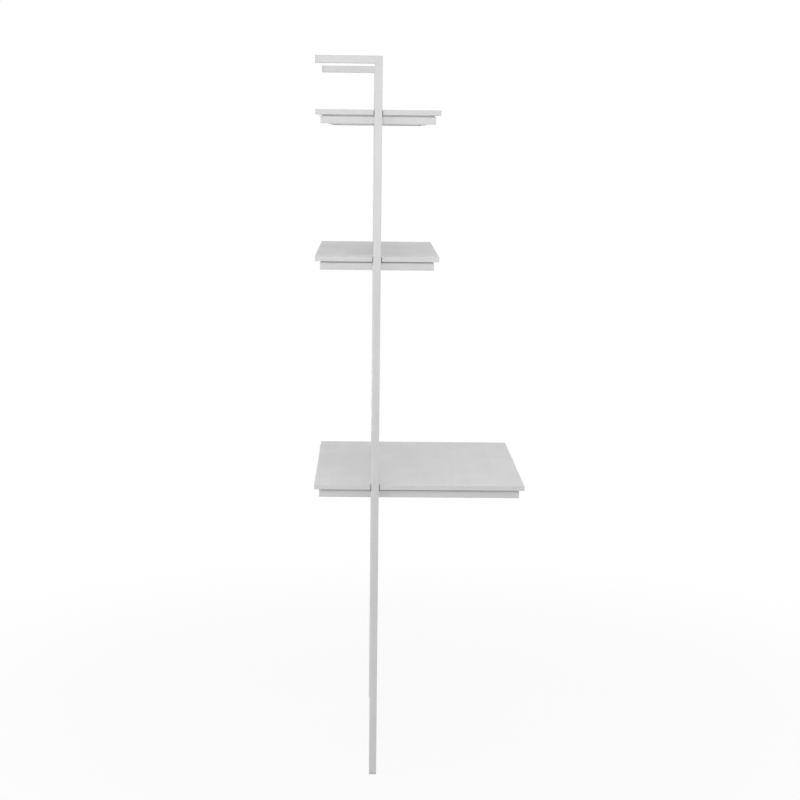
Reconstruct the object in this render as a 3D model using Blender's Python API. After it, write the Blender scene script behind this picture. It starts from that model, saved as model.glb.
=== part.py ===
"""Wall-mounted desk of white steel tube with a lacquered desk top and two lacquered shelves.

Two square posts stand on the floor and turn back to the wall at the top. Three frames of the same tube are
welded to the inner sides of the posts. Each frame carries a board that is notched around the posts, lies on
thin strips and is screwed down from below. A plug in the open end of each arm is screwed to the wall.

Metres. +Z is up, the front faces -Y and the wall lies at +Y. The origin is on the floor, in the middle of the
width and of the depth.
"""

import math

import bmesh
import bpy
from mathutils import Matrix, Vector

# Overall sizes. The top shelf is set down from the arms, and the middle shelf down from the top shelf.
HEIGHT = 1.840
BOARD_WIDTH = 0.608
DESK_DEPTH = 0.536
SHELF_DEPTH = 0.310
DESK_HEIGHT = 0.770
TOP_SHELF_DROP = 0.130
SHELF_SPACING = 0.360
POST_FROM_WALL = 0.156
BOARD_FROM_WALL = 0.001

# Square tube of the posts, arms and rails
TUBE_SIDE = 0.019
TUBE_WALL = 0.0015
TUBE_RADIUS = 0.0022
TUBE_INNER_RADIUS = 0.0007

# Boards
BOARD_THICKNESS = 0.0127
BOARD_EDGE_RADIUS = 0.001
BOARD_OVERHANG = 0.0125
NOTCH_CLEARANCE = 0.002

# Gap between a board and its frame, the strips that close it behind the rails' faces and the screws through
# both. The head of a screw lies inside the rail, above a wider hole that lets it in.
SHADOW_GAP = 0.003
STRIP_WIDTH = 0.013
SCREW_RADIUS = 0.002
SCREW_HEAD_RADIUS = 0.004
SCREW_HEAD_HEIGHT = 0.0026
SCREW_HEAD_RIM = 0.0014
SCREW_TIP = 0.004
SCREW_TIP_RADIUS = 0.0004
SCREW_COVER = 0.004
SCREW_HOLE_CLEARANCE = 0.0003
SCREW_HEAD_CLEARANCE = 0.001
SCREW_FROM_CORNER = 0.030
SCREW_SPACING = 0.240

# Wall bracket: a flange on the wall, flush with the tube, and a hollow plug inside the arm
FLANGE_THICKNESS = 0.005
PLUG_LENGTH = 0.030
PLUG_CHAMFER = 0.0010
PLUG_WALL = 0.0025
WALL_SCREW_HOLE_RADIUS = 0.00275
WALL_SCREW_SEAT = 0.008

# Headless screw that locks an arm to its bracket, sunk a little into the arm's underside
LOCK_SCREW_FROM_FLANGE = 0.018
LOCK_SCREW_RADIUS = 0.0025
LOCK_SCREW_SINK = 0.0003
LOCK_SCREW_CHAMFER = 0.0005
LOCK_SOCKET_WIDTH = 0.0025
LOCK_SOCKET_DEPTH = 0.002

# Foot plug: a plate under the post and a finned cup inside it
FOOT_PLATE = 0.004
FOOT_CHAMFER = 0.0006
FOOT_LENGTH = 0.022
FOOT_WALL = 0.0015
FIN_COUNT = 3
FIN_HEIGHT = 0.0008
FIN_THICKNESS = 0.0014

# Fits and fineness
CONTACT_GAP = 0.0003
CUTTER_MARGIN = 0.002
CORNER_STEPS = 3
ROUND_SIDES = 12
BEVEL_STEPS = 2
RIM_STEPS = 3
SHARP_ANGLE = math.radians(40)

# Places that follow from the sizes above
WALL_Y = (DESK_DEPTH + BOARD_FROM_WALL) / 2
POST_Y = WALL_Y - POST_FROM_WALL
BOARD_BACK_Y = WALL_Y - BOARD_FROM_WALL
RAIL_X = BOARD_WIDTH / 2 - BOARD_OVERHANG - TUBE_SIDE / 2
POST_X = RAIL_X + TUBE_SIDE + CONTACT_GAP
ARM_Z = HEIGHT - TUBE_SIDE / 2
TOP_SHELF_HEIGHT = HEIGHT - TOP_SHELF_DROP
MIDDLE_SHELF_HEIGHT = TOP_SHELF_HEIGHT - SHELF_SPACING
BORE_SIDE = TUBE_SIDE - 2 * TUBE_WALL
PLUG_SIDE = BORE_SIDE - 2 * CONTACT_GAP
PLUG_RADIUS = TUBE_INNER_RADIUS + CONTACT_GAP
MITRE_BACK = CONTACT_GAP / math.sqrt(2)
SCREW_HOLE_RADIUS = SCREW_RADIUS + SCREW_HOLE_CLEARANCE
HEAD_HOLE_RADIUS = SCREW_HEAD_RADIUS + SCREW_HEAD_CLEARANCE
LOCK_HOLE_RADIUS = LOCK_SCREW_RADIUS + SCREW_HOLE_CLEARANCE

UP = Vector((0, 0, 1))
RIGHT = Vector((1, 0, 0))
TO_ROOM = Vector((0, -1, 0))
SIDES = {"left": -1, "right": 1}


def new_material(name, colour, roughness, metallic):
    """A plain Principled material."""
    material = bpy.data.materials.new(name)
    material.use_nodes = True
    shader = material.node_tree.nodes["Principled BSDF"]
    shader.inputs["Base Color"].default_value = (*colour, 1)
    shader.inputs["Roughness"].default_value = roughness
    shader.inputs["Metallic"].default_value = metallic
    return material


def rounded_square(side, radius):
    """Points of a square with round corners about the origin, anticlockwise."""
    points = []
    for corner in range(4):
        turn = corner * math.pi / 2
        middle = Matrix.Rotation(turn, 2) @ Vector((side / 2 - radius, side / 2 - radius))
        for step in range(CORNER_STEPS + 1):
            angle = turn + step / CORNER_STEPS * math.pi / 2
            points.append(middle + radius * Vector((math.cos(angle), math.sin(angle))))
    return points


def circle(radius):
    """Points of a circle about the origin, anticlockwise."""
    angles = [2 * math.pi * step / ROUND_SIDES for step in range(ROUND_SIDES)]
    return [Vector((radius * math.cos(angle), radius * math.sin(angle))) for angle in angles]


def hexagon(width):
    """Points of a hexagon about the origin, at the angles of a circle's points."""
    points = []
    for direction in circle(1):
        angle = math.atan2(direction.y, direction.x)
        from_flat = (angle + math.pi / 6) % (math.pi / 3) - math.pi / 6
        points.append(direction * width / 2 / math.cos(from_flat))
    return points


def skin(mesh, loops, closed=False):
    """Joins loops of equal count into one body, capped at both ends unless the last loop meets the first."""
    rings = [[mesh.verts.new(point) for point in loop] for loop in loops]
    followers = rings[1:] + rings[:1] if closed else rings[1:]
    for lower, upper in zip(rings, followers):
        for index, vertex in enumerate(lower):
            after = (index + 1) % len(lower)
            mesh.faces.new((vertex, lower[after], upper[after], upper[index]))
    if not closed:
        mesh.faces.new(rings[0][::-1])
        mesh.faces.new(rings[-1])


def swept(mesh, base, direction, sections, closed=False):
    """Adds a body of flat sections, each an outline and how far along the direction it lies from the base."""
    turn = direction.to_track_quat("Z", "Y")
    loops = []
    for outline, along in sections:
        loops.append([base + turn @ Vector((point.x, point.y, along)) for point in outline])
    skin(mesh, loops, closed)


def new_piece(name, mesh, material, origin=Vector()):
    """Turns a mesh built in place into a named object with its own origin."""
    mesh.transform(Matrix.Translation(-origin))
    data = bpy.data.meshes.new(name)
    mesh.to_mesh(data)
    mesh.free()
    data.shade_smooth()
    data.set_sharp_from_angle(angle=SHARP_ANGLE)
    piece = bpy.data.objects.new(name, data)
    piece.location = origin
    bpy.context.scene.collection.objects.link(piece)
    if material:
        data.materials.append(material)
    return piece


def cut(piece, mesh):
    """Takes a mesh built in place out of a piece."""
    cutter = new_piece(piece.name + "_cutter", mesh, None)
    cutter.hide_render = True
    cutter.display_type = "WIRE"
    modifier = piece.modifiers.new("Cut", "BOOLEAN")
    modifier.operation = "DIFFERENCE"
    modifier.solver = "EXACT"
    modifier.object = cutter


def drill(piece, points, profile):
    """Drills an upright hole at each point, its radii and heights listed from the bottom up."""
    sections = [(circle(radius), height) for radius, height in profile]
    mesh = bmesh.new()
    for point in points:
        swept(mesh, Vector((point.x, point.y, 0)), UP, sections)
    cut(piece, mesh)


def square_tube(name, material, start, end, outward, start_mitre=False, end_mitre=True):
    """A square tube whose mitred ends are longest on the outward side."""
    length = (end - start).length
    axis = (end - start) / length

    def end_loop(profile, along, mitre, sense):
        reach = along - sense * MITRE_BACK * mitre
        return [(reach + sense * mitre * across, across, rise) for across, rise in profile]

    outer = rounded_square(TUBE_SIDE, TUBE_RADIUS)
    inner = rounded_square(BORE_SIDE, TUBE_INNER_RADIUS)
    mesh = bmesh.new()
    loops = [
        end_loop(outer, 0, start_mitre, -1),
        end_loop(outer, length, end_mitre, 1),
        end_loop(inner, length, end_mitre, 1),
        end_loop(inner, 0, start_mitre, -1),
    ]
    skin(mesh, loops, closed=True)
    tube = new_piece(name, mesh, material)
    tube.location = start
    tube.rotation_euler = Matrix((axis, outward, axis.cross(outward))).transposed().to_euler()
    return tube


def side_frame(side, sign, steel):
    """A post and the arm that joins it to the wall, mitred at the corner."""
    corner = Vector((sign * POST_X, POST_Y, ARM_Z))
    foot = Vector((sign * POST_X, POST_Y, FOOT_PLATE + CONTACT_GAP))
    wall_end = Vector((sign * POST_X, WALL_Y - FLANGE_THICKNESS - CONTACT_GAP, ARM_Z))
    square_tube(f"{side}_post", steel, foot, corner, TO_ROOM)
    arm = square_tube(f"{side}_wall_arm", steel, wall_end, corner, UP)
    drill_for_lock_screw(arm, sign)


def lock_screw_base(sign):
    """The middle of the lower end of an arm's lock screw."""
    along = FLANGE_THICKNESS + LOCK_SCREW_FROM_FLANGE
    return Vector((sign * POST_X, WALL_Y - along, HEIGHT - TUBE_SIDE + LOCK_SCREW_SINK))


def drill_for_lock_screw(piece, sign):
    """Drills an arm or the plug in it from below, up to the middle of the bore."""
    low = HEIGHT - TUBE_SIDE - CUTTER_MARGIN
    drill(piece, [lock_screw_base(sign)], [(LOCK_HOLE_RADIUS, low), (LOCK_HOLE_RADIUS, ARM_Z)])


def lock_screw(side, sign, zinc):
    """The headless screw that locks an arm to the plug in it, with a hexagon socket in its lower end."""
    length = TUBE_WALL + CONTACT_GAP + PLUG_WALL - LOCK_SCREW_SINK
    socket = hexagon(LOCK_SOCKET_WIDTH)
    end = circle(LOCK_SCREW_RADIUS - LOCK_SCREW_CHAMFER)
    shank = circle(LOCK_SCREW_RADIUS)
    sections = [
        (socket, LOCK_SOCKET_DEPTH),
        (socket, 0),
        (end, 0),
        (shank, LOCK_SCREW_CHAMFER),
        (shank, length - LOCK_SCREW_CHAMFER),
        (end, length),
    ]
    base = lock_screw_base(sign)
    mesh = bmesh.new()
    swept(mesh, base, UP, sections)
    new_piece(f"{side}_lock_screw", mesh, zinc, base)


def wall_bracket(side, sign, steel):
    """The flange at the wall end of an arm and the hollow plug that goes into the arm."""
    wall_point = Vector((sign * POST_X, WALL_Y, ARM_Z))
    flange = rounded_square(TUBE_SIDE, TUBE_RADIUS)
    plug = rounded_square(PLUG_SIDE, PLUG_RADIUS)
    plug_tip = rounded_square(PLUG_SIDE - 2 * PLUG_CHAMFER, PLUG_RADIUS)
    tip = FLANGE_THICKNESS + PLUG_LENGTH
    sections = [
        (flange, 0),
        (flange, FLANGE_THICKNESS),
        (plug, FLANGE_THICKNESS),
        (plug, tip - PLUG_CHAMFER),
        (plug_tip, tip),
    ]
    mesh = bmesh.new()
    swept(mesh, wall_point, TO_ROOM, sections)
    bracket = new_piece(f"{side}_wall_bracket", mesh, steel, wall_point)

    hole = circle(WALL_SCREW_HOLE_RADIUS)
    socket = circle(PLUG_SIDE / 2 - PLUG_WALL)
    steps = [
        (hole, -CUTTER_MARGIN),
        (hole, WALL_SCREW_SEAT),
        (socket, WALL_SCREW_SEAT),
        (socket, tip + CUTTER_MARGIN),
    ]
    mesh = bmesh.new()
    swept(mesh, wall_point, TO_ROOM, steps)
    cut(bracket, mesh)
    drill_for_lock_screw(bracket, sign)


def foot_plug(side, sign, plastic):
    """The plate that a post stands on, with a finned cup that holds it in the tube."""
    core = PLUG_SIDE - 2 * FIN_HEIGHT
    pitch = FOOT_LENGTH / (FIN_COUNT + 1)
    plate = rounded_square(TUBE_SIDE, TUBE_RADIUS)
    plate_sole = rounded_square(TUBE_SIDE - 2 * FOOT_CHAMFER, TUBE_RADIUS)
    stem = rounded_square(core, PLUG_RADIUS)
    fin = rounded_square(PLUG_SIDE, PLUG_RADIUS)
    cup = rounded_square(core - 2 * FOOT_WALL, PLUG_RADIUS)
    sections = [(plate_sole, 0), (plate, FOOT_CHAMFER), (plate, FOOT_PLATE), (stem, FOOT_PLATE)]
    for index in range(FIN_COUNT):
        low = FOOT_PLATE + (index + 1) * pitch - FIN_THICKNESS / 2
        high = low + FIN_THICKNESS
        sections += [(stem, low), (fin, low), (fin, high), (stem, high)]
    rim = FOOT_PLATE + FOOT_LENGTH
    sections += [(stem, rim), (cup, rim), (cup, FOOT_PLATE)]
    sole = Vector((sign * POST_X, POST_Y, 0))
    mesh = bmesh.new()
    swept(mesh, sole, UP, sections)
    new_piece(f"{side}_foot_plug", mesh, plastic, sole)


def screw_points(depth):
    """Where the screws go through the left and the right rail of a frame, evenly from back to front."""
    back = BOARD_BACK_Y - BOARD_OVERHANG - SCREW_FROM_CORNER
    front = BOARD_BACK_Y - depth + BOARD_OVERHANG + SCREW_FROM_CORNER
    spaces = math.ceil((back - front) / SCREW_SPACING)
    along = [back + (front - back) * index / spaces for index in range(spaces + 1)]
    return {side: [Vector((sign * RAIL_X, y)) for y in along] for side, sign in SIDES.items()}


def rail_rows(depth):
    """Where the middles of a frame's front and back rails lie."""
    inset = BOARD_OVERHANG + TUBE_SIDE / 2
    return BOARD_BACK_Y - depth + inset, BOARD_BACK_Y - inset


def shelf_frame(prefix, depth, rail_top, points, steel):
    """Four rails mitred into a rectangle, the side ones drilled for the board's screws."""
    front, back = rail_rows(depth)
    level = rail_top - TUBE_SIDE / 2
    front_left = Vector((-RAIL_X, front, level))
    front_right = Vector((RAIL_X, front, level))
    back_left = Vector((-RAIL_X, back, level))
    back_right = Vector((RAIL_X, back, level))
    square_tube(f"{prefix}_front_rail", steel, front_left, front_right, TO_ROOM, start_mitre=True)
    square_tube(f"{prefix}_back_rail", steel, back_right, back_left, -TO_ROOM, start_mitre=True)
    right = square_tube(f"{prefix}_right_rail", steel, front_right, back_right, RIGHT, start_mitre=True)
    left = square_tube(f"{prefix}_left_rail", steel, back_left, front_left, -RIGHT, start_mitre=True)
    profile = [
        (HEAD_HOLE_RADIUS, rail_top - TUBE_SIDE - CUTTER_MARGIN),
        (HEAD_HOLE_RADIUS, level),
        (SCREW_HOLE_RADIUS, level),
        (SCREW_HOLE_RADIUS, rail_top + CUTTER_MARGIN),
    ]
    drill(left, points["left"], profile)
    drill(right, points["right"], profile)


def board(name, depth, top, points, lacquer):
    """A board with a notch in each side for the posts and blind holes for the screws below."""
    edge = BOARD_WIDTH / 2
    notch = POST_X - TUBE_SIDE / 2 - NOTCH_CLEARANCE
    front = BOARD_BACK_Y - depth
    notch_front = POST_Y - TUBE_SIDE / 2 - NOTCH_CLEARANCE
    notch_back = POST_Y + TUBE_SIDE / 2 + NOTCH_CLEARANCE
    right_side = [
        (edge, front),
        (edge, notch_front),
        (notch, notch_front),
        (notch, notch_back),
        (edge, notch_back),
        (edge, BOARD_BACK_Y),
    ]
    outline = right_side + [(-x, y) for x, y in reversed(right_side)]
    underside = top - BOARD_THICKNESS
    mesh = bmesh.new()
    skin(mesh, [[(x, y, height) for x, y in outline] for height in (underside, top)])
    piece = new_piece(name, mesh, lacquer, Vector((0, (front + BOARD_BACK_Y) / 2, top)))
    bevel = piece.modifiers.new("Eased edges", "BEVEL")
    bevel.width = BOARD_EDGE_RADIUS
    bevel.segments = BEVEL_STEPS
    bevel.limit_method = "ANGLE"
    hole_end = top - SCREW_COVER + CONTACT_GAP
    drill(piece, points, [(SCREW_HOLE_RADIUS, underside - CUTTER_MARGIN), (SCREW_HOLE_RADIUS, hole_end)])


def strip(name, left, right, front, back, rail_top, plastic):
    """A flat strip between a rail and the board."""
    outline = [(left, front), (right, front), (right, back), (left, back)]
    low = rail_top + CONTACT_GAP
    high = rail_top + SHADOW_GAP - CONTACT_GAP
    mesh = bmesh.new()
    skin(mesh, [[(x, y, height) for x, y in outline] for height in (low, high)])
    return new_piece(name, mesh, plastic, Vector(((left + right) / 2, (front + back) / 2, low)))


def seat_strips(prefix, depth, rail_top, points, plastic):
    """Four strips on the middles of a frame's rails, the side ones drilled for the board's screws."""
    front, back = rail_rows(depth)
    half = STRIP_WIDTH / 2
    profile = [
        (SCREW_HOLE_RADIUS, rail_top - CUTTER_MARGIN),
        (SCREW_HOLE_RADIUS, rail_top + SHADOW_GAP + CUTTER_MARGIN),
    ]
    for side, sign in SIDES.items():
        middle = sign * RAIL_X
        name = f"{prefix}_{side}_strip"
        piece = strip(name, middle - half, middle + half, front - half, back + half, rail_top, plastic)
        drill(piece, points[side], profile)
    end = RAIL_X - half - CONTACT_GAP
    for name, row in (("front", front), ("back", back)):
        strip(f"{prefix}_{name}_strip", -end, end, row - half, row + half, rail_top, plastic)


def board_screw(name, rail_top, point, zinc):
    """A pan-head screw from inside the rail through its upper wall and the strip into the board."""
    length = CONTACT_GAP + TUBE_WALL + SHADOW_GAP + BOARD_THICKNESS - SCREW_COVER
    profile = []
    for step in range(RIM_STEPS + 1):
        angle = step / RIM_STEPS * math.pi / 2
        radius = SCREW_HEAD_RADIUS - SCREW_HEAD_RIM * (1 - math.sin(angle))
        profile.append((radius, SCREW_HEAD_RIM * (1 - math.cos(angle)) - SCREW_HEAD_HEIGHT))
    profile += [
        (SCREW_HEAD_RADIUS, 0),
        (SCREW_RADIUS, 0),
        (SCREW_RADIUS, length - SCREW_TIP),
        (SCREW_TIP_RADIUS, length),
    ]
    seat = Vector((point.x, point.y, rail_top - TUBE_WALL - CONTACT_GAP))
    mesh = bmesh.new()
    swept(mesh, seat, UP, [(circle(radius), along) for radius, along in profile])
    new_piece(name, mesh, zinc, seat)


def shelf(prefix, board_name, depth, top, materials):
    """A board with its frame, strips and screws."""
    rail_top = top - BOARD_THICKNESS - SHADOW_GAP
    by_side = screw_points(depth)
    points = by_side["left"] + by_side["right"]
    shelf_frame(prefix, depth, rail_top, by_side, materials["steel"])
    seat_strips(prefix, depth, rail_top, by_side, materials["plastic"])
    board(board_name, depth, top, points, materials["lacquer"])
    for number, point in enumerate(points, start=1):
        board_screw(f"{prefix}_screw_{number}", rail_top, point, materials["zinc"])


def main():
    for old in list(bpy.data.objects):
        bpy.data.objects.remove(old)
    materials = {
        "steel": new_material("white powder-coated steel", (0.70, 0.70, 0.70), 0.45, 0.0),
        "lacquer": new_material("white lacquered board", (0.70, 0.70, 0.70), 0.45, 0.0),
        "plastic": new_material("white plastic", (0.66, 0.66, 0.66), 0.55, 0.0),
        "zinc": new_material("zinc-plated steel", (0.62, 0.63, 0.65), 0.35, 1.0),
    }
    for side, sign in SIDES.items():
        side_frame(side, sign, materials["steel"])
        wall_bracket(side, sign, materials["steel"])
        lock_screw(side, sign, materials["zinc"])
        foot_plug(side, sign, materials["plastic"])
    shelf("desk", "desk_top", DESK_DEPTH, DESK_HEIGHT, materials)
    shelf("middle", "middle_shelf", SHELF_DEPTH, MIDDLE_SHELF_HEIGHT, materials)
    shelf("top", "top_shelf", SHELF_DEPTH, TOP_SHELF_HEIGHT, materials)


main()
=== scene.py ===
"""White wall desk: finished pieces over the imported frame, their finishes and a plain studio.

Every piece is modelled where the frame has it, in metres, with +Z up, the front towards -Y and the wall
at +Y.
"""

import math

import bmesh
import bpy
from bpy.props import FloatProperty, FloatVectorProperty, IntProperty, PointerProperty
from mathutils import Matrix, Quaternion, Vector


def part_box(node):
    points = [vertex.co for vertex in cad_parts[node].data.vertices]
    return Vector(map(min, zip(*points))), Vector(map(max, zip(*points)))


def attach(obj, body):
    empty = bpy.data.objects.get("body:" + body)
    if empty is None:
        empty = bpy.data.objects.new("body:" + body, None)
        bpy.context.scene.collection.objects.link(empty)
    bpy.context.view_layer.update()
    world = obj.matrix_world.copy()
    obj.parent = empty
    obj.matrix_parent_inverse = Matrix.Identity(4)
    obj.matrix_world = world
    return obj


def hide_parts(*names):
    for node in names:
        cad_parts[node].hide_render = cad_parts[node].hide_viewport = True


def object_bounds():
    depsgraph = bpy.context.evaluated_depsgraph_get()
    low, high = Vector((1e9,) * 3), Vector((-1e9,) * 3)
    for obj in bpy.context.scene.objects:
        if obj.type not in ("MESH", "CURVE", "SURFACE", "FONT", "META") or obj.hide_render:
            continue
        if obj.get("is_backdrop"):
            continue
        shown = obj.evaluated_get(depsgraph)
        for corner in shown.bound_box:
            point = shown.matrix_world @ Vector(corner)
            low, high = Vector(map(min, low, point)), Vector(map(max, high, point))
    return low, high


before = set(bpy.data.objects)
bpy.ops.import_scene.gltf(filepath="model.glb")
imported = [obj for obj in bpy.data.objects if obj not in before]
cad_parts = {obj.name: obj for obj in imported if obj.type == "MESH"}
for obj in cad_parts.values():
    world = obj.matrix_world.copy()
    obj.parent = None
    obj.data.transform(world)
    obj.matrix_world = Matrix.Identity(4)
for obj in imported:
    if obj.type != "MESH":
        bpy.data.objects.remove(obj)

bl_info = {
    "name": "White Wall Desk",
    "version": (1, 0, 0),
    "blender": (4, 5, 0),
    "location": "3D View > Sidebar > Wall Desk",
    "description": "Finishes a white wall desk with two shelves and sets a plain studio around it",
    "category": "Object",
}

SIDES = {"left": -1, "right": 1}
SHELVES = {"desk": "desk_top", "middle": "middle_shelf", "top": "top_shelf"}
UP = Vector((0, 0, 1))
RIGHT = Vector((1, 0, 0))
TO_WALL = Vector((0, 1, 0))
QUARTER_TURN = math.pi / 2

# The turn that lays an upright rod from the front to the wall
LYING = (QUARTER_TURN, 0, 0)

# How far off a plane a vertex may be, how straight a face or an edge has to be, and which part marks an axis
ON_PLANE = 1e-5
ALIGNED = 0.99
ON_AXIS = 0.5

# Faces around rods and weld beads, and faces across the rounding of tubes, boards, small pieces and rims
ROD_SIDES = 32
BEAD_SIDES = 40
TUBE_STEPS = 5
BOARD_STEPS = 4
SMALL_STEPS = 3
RIM_STEPS = 2

# Degrees up to which two faces are shaded as one, on most pieces and on welds
SMOOTH_UP_TO = 40
WELD_SMOOTH_UP_TO = 60

# Share of a tube's wall that counts as its outside, and how much longer a cutter is than what it goes through
OUTSIDE_SHARE = 0.7
THROUGH = 1.2

# The power by which a weld thins out towards its ends
WELD_FEATHER = 4

# A screw head's crown: the arc it follows, the flat share of its radius and its rings
CROWN_ARC = 0.86 * QUARTER_TURN
CROWN_FLAT = 0.42
CROWN_RINGS = 5

# What is left of a cross recess at its bottom and of a shank at its point
RECESS_TAPER = 0.55
POINT_TAPER = 0.2

# How much wider the swell in the coat is than its waves, and how the strokes in the lacquer are drawn out
SWELL = 6
STROKES = (1, 22, 1)

# Where the lamps stand, and their sizes
LAMPS = {
    "key": {"place": (-2.0, 0.1, 1.8), "width": 1.6, "height": 1.0},
    "front": {"place": (-0.5, -2.0, 1.4), "width": 2.6, "height": 2.4},
    "wall": {"place": (-0.5, 2.0, 1.4), "width": 2.6, "height": 2.4},
    "top": {"place": (0.0, 0.0, 3.6), "width": 2.4, "height": 2.0},
    "far": {"place": (3.0, 0.0, 0.5), "width": 2.0, "height": 0.8},
}

# The floor's size and surface, its share of plain white near the desk and away from it, and those distances
FLOOR_RADIUS = 40
FLOOR_SIDES = 96
FLOOR_ROUGHNESS = 0.9
FLOOR_SPECULAR = 0.1
WHITE_NEAR, WHITE_AWAY = 0.88, 1.0
NEAR, AWAY = 0.5, 2.2

# Width of the camera's frame in millimetres
FRAME_WIDTH = 36


class WallDeskSizes(bpy.types.PropertyGroup):
    """Sizes that the finished pieces have beyond the boxes of the frame's nodes."""

    corner_radius: FloatProperty(
        name="Tube corner", description="Outer radius of the tube's long edges", default=0.0022, unit="LENGTH"
    )
    tube_wall: FloatProperty(
        name="Tube wall", description="Thickness of the tube's wall", default=0.0015, unit="LENGTH"
    )
    seam_gap: FloatProperty(
        name="Mitre seam", description="Width left between two mitred ends", default=0.00004, unit="LENGTH"
    )
    seam_edge: FloatProperty(
        name="Seam edge", description="Rounding of a mitre's rim under the coat",
        default=0.00016, unit="LENGTH",
    )
    board_edge: FloatProperty(
        name="Board edge", description="Radius of the boards' eased edges", default=0.0011, unit="LENGTH"
    )
    notch_clearance: FloatProperty(
        name="Notch clearance", description="Room between a post and its notch", default=0.002, unit="LENGTH"
    )
    weld_leg: FloatProperty(
        name="Weld leg", description="Reach of a weld on the post", default=0.0027, unit="LENGTH"
    )
    weld_spread: FloatProperty(
        name="Weld spread", description="How much further a weld reaches along the rail",
        default=1.4, min=1, max=4,
    )
    weld_root: FloatProperty(
        name="Weld root", description="Depth of a weld's centre behind the faces",
        default=0.0022, unit="LENGTH",
    )
    weld_sink: FloatProperty(
        name="Weld sink", description="How far a weld goes into a flat face", default=0.0002, unit="LENGTH"
    )
    weld_fill: FloatProperty(
        name="Weld fill", description="How far a weld fills the groove at a rounded edge",
        default=0.0012, unit="LENGTH",
    )
    weld_ripple: FloatProperty(
        name="Weld ripple", description="Height of the ripples along a weld", default=0.0002, unit="LENGTH"
    )
    weld_pitch: FloatProperty(
        name="Weld pitch", description="Length of one ripple along a weld", default=0.0013, unit="LENGTH"
    )
    sole_plate: FloatProperty(
        name="Sole plate", description="Height of the plate under a post", default=0.004, unit="LENGTH"
    )
    sole_edge: FloatProperty(
        name="Sole edge", description="Rounding under the sole plate", default=0.0007, unit="LENGTH"
    )
    fin_count: IntProperty(
        name="Fins", description="Fins around the foot plug's stem", default=3, min=1, max=8
    )
    fin_height: FloatProperty(
        name="Fin height", description="How far a fin stands out of the stem", default=0.0008, unit="LENGTH"
    )
    fin_thickness: FloatProperty(
        name="Fin thickness", description="Thickness of a fin", default=0.0014, unit="LENGTH"
    )
    cup_wall: FloatProperty(
        name="Cup wall", description="Wall of the foot plug's hollow stem", default=0.0015, unit="LENGTH"
    )
    flange: FloatProperty(
        name="Wall flange", description="Thickness of the flange on the wall", default=0.005, unit="LENGTH"
    )
    plug_tip: FloatProperty(
        name="Plug tip", description="Chamfer at the end of a wall bracket's plug",
        default=0.001, unit="LENGTH",
    )
    plug_gap: FloatProperty(
        name="Plug gap", description="Room between a plug and the tube's bore", default=0.0003, unit="LENGTH"
    )
    wall_screw_hole: FloatProperty(
        name="Wall screw hole", description="Diameter of the hole in the wall flange",
        default=0.0055, unit="LENGTH",
    )
    wall_screw_seat: FloatProperty(
        name="Wall screw seat", description="How far the screw's seat lies off the wall",
        default=0.008, unit="LENGTH",
    )
    wall_screw_bore: FloatProperty(
        name="Wall screw bore", description="Diameter of the plug's hollow", default=0.0104, unit="LENGTH"
    )
    head_hole: FloatProperty(
        name="Head hole", description="Diameter of the hole that lets a screw's head into a rail",
        default=0.01, unit="LENGTH",
    )
    shank_hole: FloatProperty(
        name="Shank hole", description="Diameter of the holes around the board screws",
        default=0.0046, unit="LENGTH",
    )
    lock_hole: FloatProperty(
        name="Lock hole", description="Diameter of the holes around the lock screws",
        default=0.0056, unit="LENGTH",
    )
    hole_edge: FloatProperty(
        name="Hole edge", description="Rounding of a hole's rim under the coat", default=0.0003, unit="LENGTH"
    )
    head_height: FloatProperty(
        name="Head height", description="Height of a screw's head", default=0.0026, unit="LENGTH"
    )
    head_rim: FloatProperty(
        name="Head rim", description="Straight part of a screw head's side", default=0.0011, unit="LENGTH"
    )
    shank: FloatProperty(
        name="Shank", description="Diameter of a screw's shank", default=0.004, unit="LENGTH"
    )
    recess_width: FloatProperty(
        name="Recess width", description="Span of the cross in a screw's head", default=0.0044, unit="LENGTH"
    )
    recess_blade: FloatProperty(
        name="Recess blade", description="Thickness of the cross in a screw's head",
        default=0.0011, unit="LENGTH",
    )
    recess_depth: FloatProperty(
        name="Recess depth", description="Depth of the cross in a screw's head", default=0.0016, unit="LENGTH"
    )
    screw_tip: FloatProperty(
        name="Screw tip", description="Length of a board screw's point", default=0.004, unit="LENGTH"
    )
    socket_width: FloatProperty(
        name="Socket width", description="Width of the hexagon in a lock screw", default=0.0025, unit="LENGTH"
    )
    socket_depth: FloatProperty(
        name="Socket depth", description="Depth of the hexagon in a lock screw", default=0.002, unit="LENGTH"
    )
    lock_chamfer: FloatProperty(
        name="Lock chamfer", description="Chamfer at both ends of a lock screw", default=0.0005, unit="LENGTH"
    )
    strip_edge: FloatProperty(
        name="Strip edge", description="Rounding of a seat strip's edges", default=0.0004, unit="LENGTH"
    )


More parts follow.
